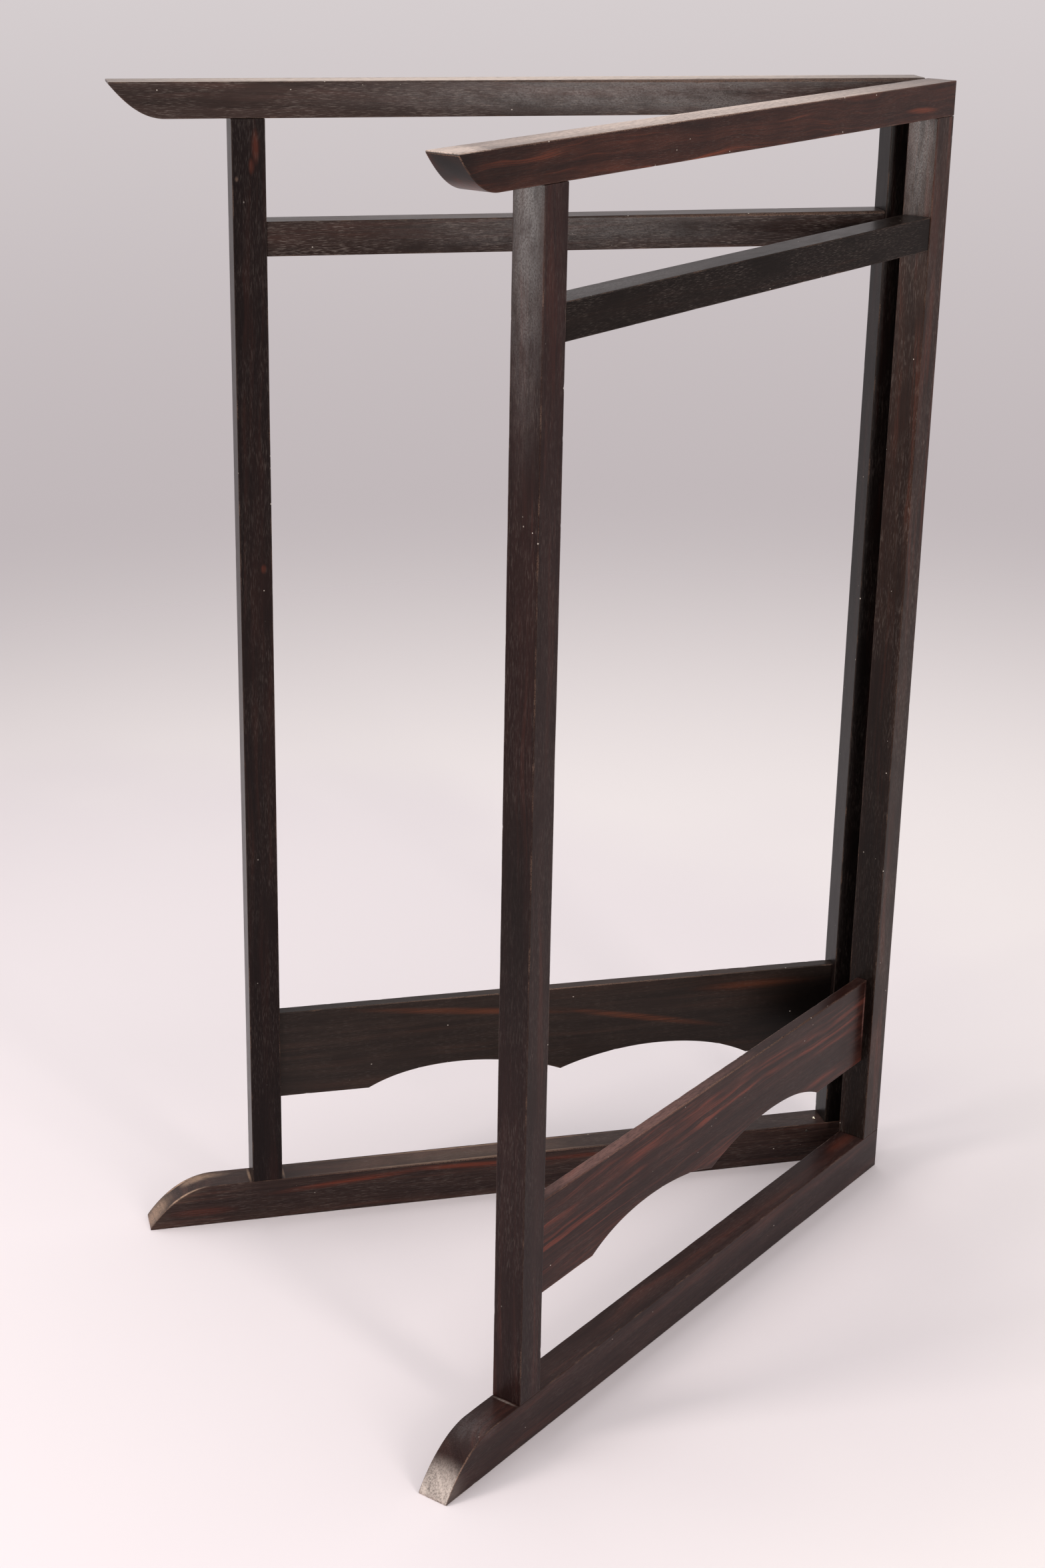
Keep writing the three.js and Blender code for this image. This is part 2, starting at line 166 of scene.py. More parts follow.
paper = bpy.data.materials.new("paper")
start = clear_tree(paper)
x, y, z = start.node("TexCoord", output="Object").split()
away = start.length(x - paper_middle[0], y - paper_middle[1], z)
cloud = start.noise(x / cloud_size, y / cloud_size, z) - 0.5
# painted shade: the paper's colour turns darker towards bright_from
brighter = (start.length(x - bright_from[0], y - bright_from[1], z) + cloud).step(*bright_rise)
sheet_colour = brighter.mix(paper_near, paper_far)
layers = {
    0: away.step(*paper_fade),
    1: start.node("BsdfDiffuse", {"Color": sheet_colour}),
    2: start.node("BsdfTransparent"),
}
start.node("OutputMaterial", {"Surface": start.node("MixShader", layers)})

rim_angles = np.linspace(0, 2 * pi, rim_points, endpoint=False)
rim = np.stack((np.cos(rim_angles), np.sin(rim_angles), np.zeros_like(rim_angles)), axis=1)
floor_mesh = bpy.data.meshes.new("paper_floor")
floor_mesh.from_pydata((rim * floor_radius).tolist(), [], [tuple(range(rim_points))])
floor_mesh.materials.append(paper)
paper_floor = bpy.data.objects.new("paper_floor", floor_mesh)
bpy.context.scene.collection.objects.link(paper_floor)

world = bpy.data.worlds.new("surround")
bpy.context.scene.world = world
start = clear_tree(world)
rise = start.node("TexCoord", output="Generated").split()[2]
greys = rise.step(*surround_rise).mix(surround_low, surround_high)
shown = start.node("Background", {"Color": greys})
soft = start.node("Background", {"Color": surround_tint, "Strength": surround_light})
kinds = [start.node("LightPath", output=kind)
         for kind in ("Is Camera Ray", "Is Glossy Ray", "Is Transmission Ray")]
seen_ray = kinds[0].math("MAXIMUM", kinds[0], kinds[1].math("MAXIMUM", kinds[1], kinds[2]))
start.node("OutputWorld", {"Surface": start.node("MixShader", {0: seen_ray, 1: soft, 2: shown})})


def soft_lamp(name, place, target, width, height, watts, colour=(1, 1, 1)):
    """A rectangular lamp that faces its target and that the camera doesn't see."""
    data = bpy.data.lights.new(name, "AREA")
    data.color = colour
    data.shape = "RECTANGLE"
    data.size = width
    data.size_y = height
    data.energy = watts
    lamp = bpy.data.objects.new(name, data)
    lamp.location = place
    lamp.rotation_mode = "QUATERNION"
    lamp.rotation_quaternion = (Vector(target) - Vector(place)).to_track_quat("-Z", "Y")
    lamp.visible_camera = False
    bpy.context.scene.collection.objects.link(lamp)


lamp_warmth = (1, 0.93, 0.89)
soft_lamp("high_lamp", (-1.0, -0.2, 6.0), (0.6, 0.1, 0), width=4.0, height=4.0, watts=86)
soft_lamp("front_lamp", (-0.5, -3.4, 1.75), (0, 0, 1.2), width=0.8, height=1.6, watts=57,
          colour=lamp_warmth)
soft_lamp("right_lamp", (3.5, -0.05, 1.55), (0, 0, 1.3), width=0.5, height=1.5, watts=40,
          colour=lamp_warmth)


# ---- The base rails -----------------------------------------------------------------------------
# A rail of dense dark hardwood lies on the floor under each panel's two posts, which are tenoned
# into it. Past the outer post its top is sawn and scraped down in a curve to a toe. Years of
# handling have rounded its edges, and worn the toes down to the paler wood.

half_spread = radians(20)  # from the V's middle plane to each panel
pin_back = frame["joints"][0]["pos_m"][1]  # the hinge pins stand this far behind the origin
panel_sides = {"left": -1, "right": 1}
millimetres = 1000  # in a metre


def panel_axes(side, points):
    """Points of the stand in a panel's own axes: along it from the pins, out through it, and up."""
    across = points[:, 0] * panel_sides[side]
    back = points[:, 1] - pin_back
    along = across * sin(half_spread) - back * cos(half_spread)
    depth = across * cos(half_spread) + back * sin(half_spread)
    return np.stack((along, depth, points[:, 2]), axis=1)


def stand_axes(side, points):
    """Points of a panel's own axes in the stand's: panel_axes turned round."""
    along, depth, height = points.T
    across = along * sin(half_spread) + depth * cos(half_spread)
    back = depth * sin(half_spread) - along * cos(half_spread)
    return np.stack((across * panel_sides[side], back + pin_back, height), axis=1)


def panel_points(node):
    """The corners of a CAD node, in its panel's own axes."""
    vertices = frame["nodes"][node].data.vertices
    points = np.empty(len(vertices) * 3)
    vertices.foreach_get("co", points)
    return panel_axes("right" if node.startswith("right") else "left", points.reshape(-1, 3))


def panel_box(node):
    """Lowest and highest corner of a CAD node, in its panel's own axes."""
    points = panel_points(node)
    return points.min(0), points.max(0)


one_face = 1e-5  # points that differ by less than this lie in one face


def tip_box(node, axis, way):
    """The same for what lies at the node's very end, which is the tip of a tenon."""
    points = panel_points(node)
    reach = points[:, axis] * way
    tip = points[reach > reach.max() - one_face]
    return tip.min(0), tip.max(0)


corner_steps = 4  # facets round each arris
face_shares = np.array((0.015, 0.08, 0.3, 0.5, 0.7, 0.92, 0.985))  # points across a flat
corner_points = corner_steps + 1 + len(face_shares)
section_points = 4 * corner_points
cap_insets = np.array((0.004, 0.0015))  # rings across an end, in from its arris
clear_of_end = 1.2  # the first full section's distance from an end, for each unit of its arris
largest_inset = 0.4  # of an end's rings, as a share of the section's thinner way
largest_radius = 0.45  # of a corner, likewise
tenon_arris = 0.0003
unworn = 0.006  # distance from an edge that stands for anywhere out of reach
hair = 1e-6  # between the two rings, or points, at a pocket's edge
joint_gap = 0.0003


def soft_rectangles(near, far, bottom, top, radii):
    """Rectangles with rounded corners, one for each ring, as (depth, across) points.

    Corner c, counted from near and bottom towards far, is a quarter circle of radius
    radii[:, c]. The flats between corners have points at fixed shares of their length.
    Also returns how far each point is from the nearest corner's round.
    """
    depths = near + radii[:, 0], far - radii[:, 1], far - radii[:, 2], near + radii[:, 3]
    acrosses = bottom + radii[:, 0], bottom + radii[:, 1], top - radii[:, 2], top - radii[:, 3]
    centres = np.stack((np.stack(depths, axis=1), np.stack(acrosses, axis=1)), axis=2)
    angles = (np.arange(4) * pi / 2 + pi)[:, None] + np.linspace(0, pi / 2, corner_steps + 1)
    rounds = np.stack((np.cos(angles), np.sin(angles)), axis=2)
    arcs = centres[:, :, None] + radii[:, :, None, None] * rounds
    starts, ends = arcs[:, :, -1:], np.roll(arcs[:, :, :1], -1, axis=1)
    flats = starts + (ends - starts) * face_shares[:, None]
    spans = np.linalg.norm(ends - starts, axis=3)
    from_corner = np.minimum(face_shares, 1 - face_shares) * spans
    shape = (len(near), section_points)
    rings = np.concatenate((arcs, flats), axis=2).reshape(*shape, 2)
    return rings, np.concatenate((arcs[..., 0] * 0, from_corner), axis=2).reshape(shape)


def tenon_sides(shoulder, way, box, axes):
    """A tenon's three rings: at its shoulder, short of its tip, and drawn in at its tip."""
    along, depth, across = axes
    tip = box[0][along]
    stops = np.array((shoulder, tip - way * tenon_arris, tip))
    drawn_in = np.array((0, 0, tenon_arris))
    sides = (stops, box[0][depth] + drawn_in, box[1][depth] - drawn_in,
             box[0][across] + drawn_in, box[1][across] - drawn_in)
    return np.stack(sides, axis=1)[::way]


def carried_bar(stations, low, high, inner, outer, arrises, end_arris, tenons=(None, None)):
    """A squared bar: a rectangle with rounded corners, carried along its length.

    At each station the section runs from inner to outer and from low to high, and its corners
    have the radii in arrises. At both ends it shrinks round a quarter circle of radius
    end_arris, and then flat across the end, from which a tenon may stand. Returns the points
    as (along, depth, across) in rings, and each point's distance from the nearest edge.
    """
    turn = np.linspace(0, pi / 2, corner_steps + 1)
    shrink = np.concatenate((cap_insets + end_arris, end_arris * (1 - np.sin(turn))))
    set_in = np.concatenate((cap_insets * 0, end_arris * (1 - np.cos(turn))))
    first, last = stations[0], stations[-1]
    clear = clear_of_end * end_arris
    body = stations[(stations > first + clear) & (stations < last - clear)]
    along = np.concatenate((first + set_in, body, last - set_in[::-1]))
    inset = np.concatenate((shrink, body * 0, shrink[::-1]))
    bottom = np.interp(along, stations, low)
    top = np.interp(along, stations, high)
    thinner = np.minimum(top - bottom, outer - inner)
    inset = inset * np.minimum(1, largest_inset * thinner / inset.max())
    near, far, bottom, top = inner + inset, outer - inset, bottom + inset, top - inset
    room = largest_radius * np.minimum(top - bottom, far - near)
    radii = [np.minimum(np.interp(along, stations, radius), room) for radius in arrises]
    radii = np.stack(radii, axis=1)

    before = after = np.zeros((0, 5))
    from_start, from_finish = along - first, last - along
    if tenons[0] is not None:
        before, from_start = tenons[0], from_start + unworn
    if tenons[1] is not None:
        after, from_finish = tenons[1], from_finish + unworn
    from_end = np.minimum(from_start, from_finish)
    caps = len(cap_insets)
    from_end[:caps] += cap_insets
    from_end[-caps:] += cap_insets[::-1]
    flat_end = (np.arange(len(along)) < caps) | (np.arange(len(along)) >= len(along) - caps)

    sides = np.concatenate((before, np.stack((along, near, far, bottom, top), axis=1), after))
    extra = ((len(before), len(after)), (0, 0))
    radii = np.pad(radii, extra, constant_values=tenon_arris)
    from_end = np.pad(from_end, extra[0], constant_values=unworn)
    flat_end = np.pad(flat_end, extra[0], constant_values=True)
    rings, from_edge = soft_rectangles(*sides[:, 1:].T, radii)
    from_end = from_end[:, None]
    from_edge = np.where(flat_end[:, None], from_end, np.minimum(from_edge, from_end))
    lengthwise = np.broadcast_to(sides[:, :1, None], (*rings.shape[:2], 1))
    return np.concatenate((lengthwise, rings), axis=2), from_edge


def bulge(points, low, high, rise):
    """Makes a bar's inner face stand proud in the middle, by a parabola across it.

    The face's edges go back by rise, and the outer face stays where it is.
    """
    near, far = points[..., 1].min(), points[..., 1].max()
    from_middle = (points[..., 2] - (low + high) / 2) / ((high - low) / 2)
    points[..., 1] += rise * from_middle ** 2 * (far - points[..., 1]) / (far - near)


def flat_columns(flat):
    """The points across one flat: 0 is low, 1 outer, 2 high and 3 inner."""
    return flat * corner_points + corner_steps + 1 + np.arange(len(face_shares))


def between(points, first, last, margin=0.0):
    """The rings whose station lies between two others."""
    return (points[:, 0, 0] > first - margin) & (points[:, 0, 0] < last + margin)


def sink(points, from_edge, flat, first, last, sides, floor):
    """Sinks a square pocket into one flat of a bar, such as a mortise or a groove.

    It runs along the bar from first to last, across the flat between the two sides, and down
    to the floor. Points of the flat move to both its sides, and those between them go down.
    """
    moving, fixed = (1, 2) if flat in (0, 2) else (2, 1)
    columns = flat_columns(flat)[1:6]
    near, far = sides
    places = np.array((near - hair, near + hair, (near + far) / 2, far - hair, far + hair))
    if flat in (2, 3):
        places = places[::-1]
    reached = np.flatnonzero(between(points, first, last, 2 * hair))
    points[reached[:, None], columns, moving] = places
    inside = np.flatnonzero(between(points, first, last))
    points[inside[:, None], columns[1:4], fixed] = floor
    from_edge[inside[:, None], columns[1:4]] = unworn


station_pitch = 0.0025


def spaced(first, last, marks=()):
    """Stations at an even pitch, and two a hair apart at each mark."""
    even = np.linspace(first, last, int(np.ceil((last - first) / station_pitch)) + 1)
    doubled = [mark + way * hair for mark in marks for way in (-1, 1)]
    return np.unique(np.concatenate((even, doubled)))


wear_lengths = (0.03, 0.4)  # shortest and longest wave of wear along an edge
wear_waves = 5
chip_widths = (0.0012, 0.004)
chip_strengths = (0.2, 1)  # their square is a chip's share of the full depth


def worn_arrises(stations, seed, chips, fresh=0.0008, wander=0.0004, chip_depth=0.0009):
    """The radii of a bar's four edges along it: fresh, plus a slow uneven wear, plus short chips.

    The wear is a mean of sines of random lengths, squared, and each chip is a bell curve.
    """
    rng = np.random.default_rng(seed)
    arrises = []
    for corner in range(4):
        lengths = rng.uniform(*wear_lengths, wear_waves)
        phases = rng.uniform(0, 2 * pi, wear_waves)
        waves = np.sin(stations[:, None] / lengths * 2 * pi + phases).mean(1)
        places = rng.uniform(stations[0], stations[-1], chips)
        widths = rng.uniform(*chip_widths, chips)
        depths = rng.uniform(*chip_strengths, chips) ** 2 * chip_depth
        bells = np.exp(-((stations[:, None] - places) / widths) ** 2)
        arrises.append(fresh + wander * (0.5 + waves) ** 2 + (bells * depths).sum(1))
    return arrises


def ring_faces(rings, corners, turned):
    """Quads between neighbouring rings, and a face across each end."""
    corner = np.arange(rings * corners).reshape(rings, corners)
    beside = np.roll(corner, -1, axis=1)
    quads = np.stack((corner[:-1], beside[:-1], beside[1:], corner[1:]), axis=2).reshape(-1, 4)
    faces = quads.tolist() + [corner[0][::-1].tolist(), corner[-1].tolist()]
    return [face[::-1] for face in faces] if turned else faces


crease = radians(26)  # faces that meet more sharply than this keep an edge between them


def add_piece(name, node, points, faces, material, body):
    """Puts a new surface in place of a CAD node, riding on the same body."""
    mesh = bpy.data.meshes.new(name)
    mesh.from_pydata(points.tolist(), [], faces)
    mesh.materials.append(material)
    mesh.shade_smooth()
    mesh.set_sharp_from_angle(angle=crease)
    piece = bpy.data.objects.new(name, mesh)
    bpy.context.scene.collection.objects.link(piece)
    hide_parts(node)
    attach(piece, body)
    return piece


def add_wood(node, points, from_edge, looks, upright=False):
    """Puts a bar in place of its CAD node. Points are in rings, as (along, depth, across)."""
    material = wood(node, upright, **looks)
    side = node.split("_")[0]
    body = side + "_panel"
    along, depth, across = points.reshape(-1, 3).T
    own = np.stack((across, depth, along) if upright else (along, depth, across), axis=1)
    faces = ring_faces(len(points), section_points, upright != (side == "left"))
    piece = add_piece(node + "_wood", node, stand_axes(side, own), faces, material, body)
    reach = piece.data.attributes.new("from_edge", "FLOAT", "POINT")
    reach.data.foreach_set("value", from_edge.ravel())


worn_tan = screen_colour(152, 120, 102)
worn_white = screen_colour(214, 203, 192)
fleck_grey = screen_colour(134, 122, 115)
# the near black of real stain, and of painted shade
stain_and_shade_black = screen_colour(10, 8, 7)
edge_wear = 0.2  # away from the rubbed patches
smoothest = 0.23  # the roughness where nothing adds to it
polish_ior = 1.55


def wood(node, upright, seed, dark, brown, ruddy=(112, 54, 38), ruddiness=0.3, heart=None,
         bands=9.0, sway=20.0, flecks=0.3, streaks=(), pale=(), bare_and_sheen=(172, 140, 122), flank=1.0,
         rubbed=(), stains_and_shade=(), polish=(), dry_ior=1.22):
    """Old polished hardwood, patterned through its whole thickness.

    Growth layers are shells about the heart, a line beside the bar, and each shell has its own
    shade. Fibres and light flecks are noise drawn out along the grain. Streaks are patches of
    ruddy heartwood. Pale ones are worn down to the lighter wood beneath; on the top rails' top
    faces they are partly a painted sheen as well, and at the right board's end a painted
    highlight. The edges are worn most in the rubbed ones. Dark ones are real stain in some
    places, and painted shade where the light falls off in others. The old polish is brightest in
    the polished ones. Each has a centre and a reach, in millimetres along, into and across the
    bar, how far it rises across for each millimetre along, and a strength. Bands is the layers'
    thickness, and sway is how far they wander. Flank is the share of the paleness that the bar's
    side faces keep, and dry_ior stands for the wood where the polish has gone.
    """
    side = node.split("_")[0]
    material = bpy.data.materials.new(node + "_finish")
    start = clear_tree(material)
    pin = pin_back * millimetres
    turned = start.node("Mapping", {
        "Vector": start.node("TexCoord", output="Object"),
        "Location": (cos(half_spread) * pin, -sin(half_spread) * pin, 0),
        "Rotation": (0, 0, pi / 2 - half_spread),
        "Scale": (panel_sides[side] * millimetres, millimetres, millimetres),
    })
    lengthwise, depth, height = turned.split()
    along, across = (height, lengthwise) if upright else (lengthwise, height)
    rng = np.random.default_rng(seed)
    shifts = rng.uniform(-400, 400, 3).tolist()
    g, d, a = along + shifts[0], depth + shifts[1], across + shifts[2]

    def drawn_out(length, width, **kind):
        """Noise whose lumps are this long along the grain, and this wide across it."""
        return start.noise(g / length, d / width, a / width, **kind)

    def blots(patches):
        """The strongest of some egg-shaped patches, which fade towards their edges."""
        strongest = None
        for centre, reach, rise, strength in patches:
            off = along - centre[0]
            inward = depth - centre[1]
            upward = across - off * rise - centre[2]
            away = start.length(off / reach[0], inward / reach[1], upward / reach[2])
            patch = away.step(1, 0.2) * strength
            strongest = patch if strongest is None else strongest.math("MAXIMUM", strongest, patch)
        return strongest

    lean = drawn_out(260, 70, detail=3.0) - 0.5
    lowest, highest = panel_box(node)
    middle = (lowest + highest) / 2 * millimetres
    half_depth = (highest[1] - lowest[1]).item() / 2 * millimetres
    beside = rng.uniform(25, 60, 2) * rng.choice((-1, 1), 2) if heart is None else np.array(heart)
    centre = middle[[1, 0 if upright else 2]] + beside
    shell = start.length(0.0, depth - centre[0].item(), across - centre[1].item())
    shell = shell + lean * sway + g / 90
    layer = start.noise(shell / bands, g / 700, 0.5, detail=4.0, roughness=0.65)
    line = start.noise(shell / 1.9, g / 200, 3.5, detail=1.0)
    fibre = drawn_out(30, 0.8, detail=2.0)
    broad = drawn_out(150, 22, detail=2.0)
    cloud = drawn_out(70, 30, detail=2.0)

    shade = layer.step(0.34, 0.66) * 0.5 + line.step(0.3, 0.7) * 0.2 + fibre.step(0.3, 0.7) * 0.3
    shade = shade * (cloud.step(0.3, 0.7) * 0.45 + 0.75)
    colour = shade.mix(screen_colour(*dark), screen_colour(*brown))
    threads = line.step(0.3, 0.6) * 0.55 + 0.45
    red = layer.step(0.48, 0.62) * broad.step(0.4, 0.62) * threads * ruddiness
    if streaks:
        red = red.math("MAXIMUM", red, blots(streaks) * threads)
    colour = red.mix(colour, screen_colour(*ruddy))
    fleck = drawn_out(10, 0.65, detail=2.0).step(0.52, 0.7) * cloud.step(0.25, 0.65)
    colour = (fleck * flecks).mix(colour, fleck_grey)
    # Dark patches: real stain in some, painted shade where the light falls off in others.
    if stains_and_shade:
        colour = blots(stains_and_shade).mix(colour, stain_and_shade_black)

    edge = start.node("Attribute", output="Fac", attribute_name="from_edge") * millimetres
    ragged = start.noise(along / 1.6, depth / 1.1, across / 1.1, detail=1.0) - 0.5
    handled = drawn_out(30, 18, detail=3.0).step(0.52, 0.66)
    use = (handled * 0.8 + 0.2) * edge_wear
    if rubbed:
        use = use.math("MAXIMUM", use, blots(rubbed))
    worn = (edge + ragged * 2.2).step(0.45, -0.1) * use
    colour = worn.mix(colour, worn_tan)
    # Pale patches: mostly wear down to lighter wood; on the top rails' top faces partly a painted
    # sheen, and at the right board's end a painted highlight.
    if pale:
        mottle = start.noise(along / 9, depth / 2, across / 2, detail=4.0, roughness=0.65)
        lifted = layer.step(0.38, 0.56) * 0.25 + fibre.step(0.3, 0.6) * 0.15
        lifted = lifted + mottle.step(0.32, 0.6) * 0.45 + 0.15
        aside = depth - middle[1].item()
        inside = aside.math("ABSOLUTE", aside).step(half_depth - 0.2, half_depth - 0.9)
        lifted = start.math("MINIMUM", blots(pale) * lifted, 1.0) * (inside * (1 - flank) + flank)
        colour = lifted.mix(colour, screen_colour(*bare_and_sheen))
        worn = worn.math("MAXIMUM", worn, lifted)
    cells = start.node("TexVoronoi", {"Vector": start.point(g / 5, d / 3.5, a / 3.5), "Scale": 1.0})
    chance = Wire(start.tree, cells.socket.node.outputs["Color"]).split("SeparateColor")[0]
    nick = cells.step(0.24, 0.12) * (chance + edge.step(1.2, 0.1) * 0.02).step(0.994, 0.999)
    colour = (nick * 0.8).mix(colour, worn_white)

    smear = drawn_out(28, 9, detail=5.0, roughness=0.65)
    dips = drawn_out(60, 16, detail=1.0)
    relief = fibre * 0.02 - fleck * 0.03 + dips * 0.2 + smear * 0.08 - worn * 0.04 - nick * 0.1
    bumps = start.node("Bump", {"Height": relief, "Distance": 0.001, "Strength": 0.8})
    looks = {
        "Base Color": colour,
        "Roughness": smear * 0.14 + smoothest + fleck * 0.06 + worn * 0.16,
        "IOR": dry_ior,
        "Normal": bumps,
    }
    surface = start.node("BsdfPrincipled", looks)
    if polish:
        pits = start.noise(along / 2.4, depth / 1.5, across / 1.5, detail=3.0).step(0.35, 0.6)
        shine = blots(polish) * (smear.step(0.34, 0.6) * 0.65 + 0.35) * (pits * 0.6 + 0.4)
        surface = start.node("MixShader", {
            0: shine,
            1: surface,
            2: start.node("BsdfPrincipled", {**looks, "IOR": polish_ior}),
        })
    start.node("OutputMaterial", {"Surface": surface})
    return material


curve_points = 400


def handled_curve(ends_and_handles):
    """A cubic curve from its first end to its last, bent by the two handles between them."""
    t = np.linspace(0, 1, curve_points)[:, None]
    a, b, c, d = np.array(ends_and_handles)
    return a * (1 - t) ** 3 + 3 * b * t * (1 - t) ** 2 + 3 * c * t ** 2 * (1 - t) + d * t ** 3


end_arris = 0.0008
toe_run = 0.091  # length of the curve
toe_shoulder = 0.043  # how long it stays level at its start
toe_heel = 0.018  # how far back its slope is aimed at its end
toe_heel_rise = 0.028
toe_nose = 0.002
nose_wear = 0.0005  # off the very end

base_rail_looks = {
    "left": dict(
        seed=11, dark=(34, 23, 22), brown=(64, 48, 43), ruddy=(112, 52, 36), ruddiness=0.12,
        heart=(-20, -260), bands=6.0, flecks=0.22,
        streaks=[((725, 0, 44.5), (135, 9, 6), -0.064, 0.7),
                 ((560, 0, 49), (120, 9, 6), 0.04, 0.75),
                 ((400, 0, 46), (130, 9, 5), 0, 0.4), ((930, 0, 20), (60, 9, 9), 0, 0.3)],
        pale=[((994, 21, 18), (40, 30, 36), 0, 0.6), ((940, 31, 54), (66, 12, 12), 0, 0.55),
              ((962, 3, 48), (52, 3.5, 30), 0, 0.85), ((965, 38, 48), (52, 3.5, 30), 0, 0.85),
              ((560, 20, 58.5), (320, 34, 1.5), 0, 0.1),
              ((864, 20, 58.5), (3, 24, 2), 0, 0.7), ((818, 20, 58.5), (3, 24, 2), 0, 0.6),
              ((560, 4, 58.5), (300, 3, 1.5), 0, 0.5), ((560, 37, 58.5), (330, 3, 1.5), 0, 0.5)],
        bare_and_sheen=(186, 154, 130), flank=0.15,
        rubbed=[((985, 20, 35), (60, 40, 50), 0, 0.5), ((520, 0, 58), (440, 4, 4), 0, 0.35)],
        # painted shadow: a dark ring painted round the tack's head
        stains_and_shade=[((52.6, 17, 58), (4.2, 4.2, 3), 0, 0.9)],
    ),
    "right": dict(
        seed=12, dark=(30, 17, 16), brown=(55, 36, 33), ruddiness=0.15, flecks=0.12,
        pale=[((1001, 20, 8), (46, 70, 54), 0, 1.1), ((864, 20, 58.5), (3, 24, 2), 0, 0.35)],
        bare_and_sheen=(197, 183, 174), flank=0.15,
        rubbed=[((980, 30, 30), (60, 40, 50), 0, 0.55)],
        streaks=[((70, 20, 58), (50, 14, 3), 0, 0.3)],
        polish=[((922, 20, 56), (36, 36, 16), 0, 1.0)],
    ),
}


def post_sockets(side, way):
    """The posts' tenon tips in a rail, and where the mortises for them start and end along it."""
    tips = [tip_box(f"{side}_{post}", 2, way) for post in ("hinge_post", "outer_post")]
    return tips, [mark for low, high in tips for mark in (low[0] - joint_gap, high[0] + joint_gap)]


for side, looks in base_rail_looks.items():
    node = side + "_base_rail"
    lowest, highest = panel_box(node)
    tips, marks = post_sockets(side, -1)
    stations = spaced(lowest[0], highest[0] - nose_wear, marks)
    toe = handled_curve((
        (highest[0] - toe_run, highest[2]),
        (highest[0] - toe_run + toe_shoulder, highest[2]),
        (highest[0] - toe_heel, toe_heel_rise),
        (highest[0], toe_nose),
    ))
    top = np.interp(stations, toe[:, 0], toe[:, 1])
    arrises = worn_arrises(stations, looks["seed"], chips=10)
    points, from_edge = carried_bar(stations, stations * 0, top, lowest[1], highest[1],
                                    arrises, end_arris)
    for (low, high), first, last in zip(tips, marks[::2], marks[1::2]):
        sides = (low[1] - joint_gap, high[1] + joint_gap)
        sink(points, from_edge, 2, first, last, sides, low[2] - joint_gap)
    add_wood(node, points, from_edge, looks)


# ---- The hinge posts ----------------------------------------------------------------------------
# The post at each panel's inner end is tenoned into both rails, and mortised and grooved for the
# mid rail and the board. Its end face is let in for the two hinge leaves, and its inner corner is
# hollowed to clear their knuckles and the pins' heads.

def post_blank(node, side, seed, extra_marks=()):
    """A post's shaft with its two tenons, its mortise and its groove: points and from_edge."""
    lowest, highest = panel_box(node)
    foot = panel_box(side + "_base_rail")[1][2] + joint_gap
    head = panel_box(side + "_top_rail")[0][2] - joint_gap
    tenons = [tenon_sides(shoulder, way, tip_box(node, 2, way), (2, 1, 0))
              for shoulder, way in ((foot, -1), (head, 1))]
    flat, way = (2, -1) if node.endswith("hinge_post") else (0, 1)
    housed = [tip_box(side + "_mid_rail", 0, way), tip_box(side + "_wave_board", 0, way)]
    marks = [mark for low, high in housed for mark in (low[2] - joint_gap, high[2] + joint_gap)]
    stations = spaced(foot, head, (*marks, *extra_marks))
    arrises = worn_arrises(stations, seed, chips=14)
    points, from_edge = carried_bar(stations, stations * 0 + lowest[0], stations * 0 + highest[0],
                                    lowest[1], highest[1], arrises, end_arris / 2, tenons)
    for (low, high), first, last in zip(housed, marks[::2], marks[1::2]):
        sides = (low[1] - joint_gap, high[1] + joint_gap)
        sink(points, from_edge, flat, first, last, sides, low[0] + way * joint_gap)
    return points, from_edge


leaf_thickness = 0.0016
leaf_fit = 0.0003  # round a leaf in its recess
running_clearance = 0.0004  # round a turning knuckle

hinge_post_looks = {
    # painted shade: the left post's wood is made near black, darker than the right one's, for the
    # shade between the panels
    "left": dict(seed=21, dark=(11, 8, 7), brown=(21, 14, 13), ruddiness=0.05, flecks=0.1),
    "right": dict(
        seed=22, dark=(24, 13, 10), brown=(50, 31, 24), ruddiness=0.25, flecks=0.35,
        # painted shade: the window-side face is painted darker towards the bottom, where its sheen
        # falls off
        stains_and_shade=[((350, 20, 42), (800, 40, 9), 0, 0.75)],
        polish=[((1430, 20, 46), (180, 30, 14), 0, 1.0)],
    ),
}
for side, looks in hinge_post_looks.items():
    node = side + "_hinge_post"
    leaves = [panel_box(f"{side}_{level}_hinge_leaf") for level in ("lower", "upper")]
    pins = [panel_box(f"{level}_hinge_pin") for level in ("lower", "upper")]
    recesses = [(low[2] - leaf_fit, high[2] + leaf_fit) for low, high in leaves]
    channels = [(low[2] - leaf_fit, high[2] + leaf_fit) for low, high in pins]
    marks = [mark for span in recesses + channels for mark in span]
    points, from_edge = post_blank(node, side, looks["seed"], marks)

    columns = flat_columns(0)
    recess_side = leaves[0][1][1] + leaf_fit
    recess_floor = panel_box(node)[0][0] + leaf_thickness + leaf_fit
    for first, last in recesses:
        reached = np.flatnonzero(between(points, first, last, 2 * hair))
        points[reached[:, None], columns[4:6], 1] = recess_side - hair, recess_side + hair
        inside = np.flatnonzero(between(points, first, last))
        points[inside[:, None], columns[:5], 2] = recess_floor
        from_edge[inside[:, None], columns[:5]] = unworn
    knuckle_room = leaves[0][1][0] + running_clearance
    for first, last in channels:
        inside = between(points, first, last)
        reach = np.hypot(points[inside, :, 1], points[inside, :, 2])
        points[inside, :, 1:] *= np.maximum(1, knuckle_room / reach)[..., None]
    add_wood(node, points, from_edge, looks, upright=True)


# ---- The outer posts ----------------------------------------------------------------------------
# The post at each panel's open end is made like the hinge post, with its mortise and groove on
# the side that faces the window. The left one has a reddish patch of heartwood near its top.

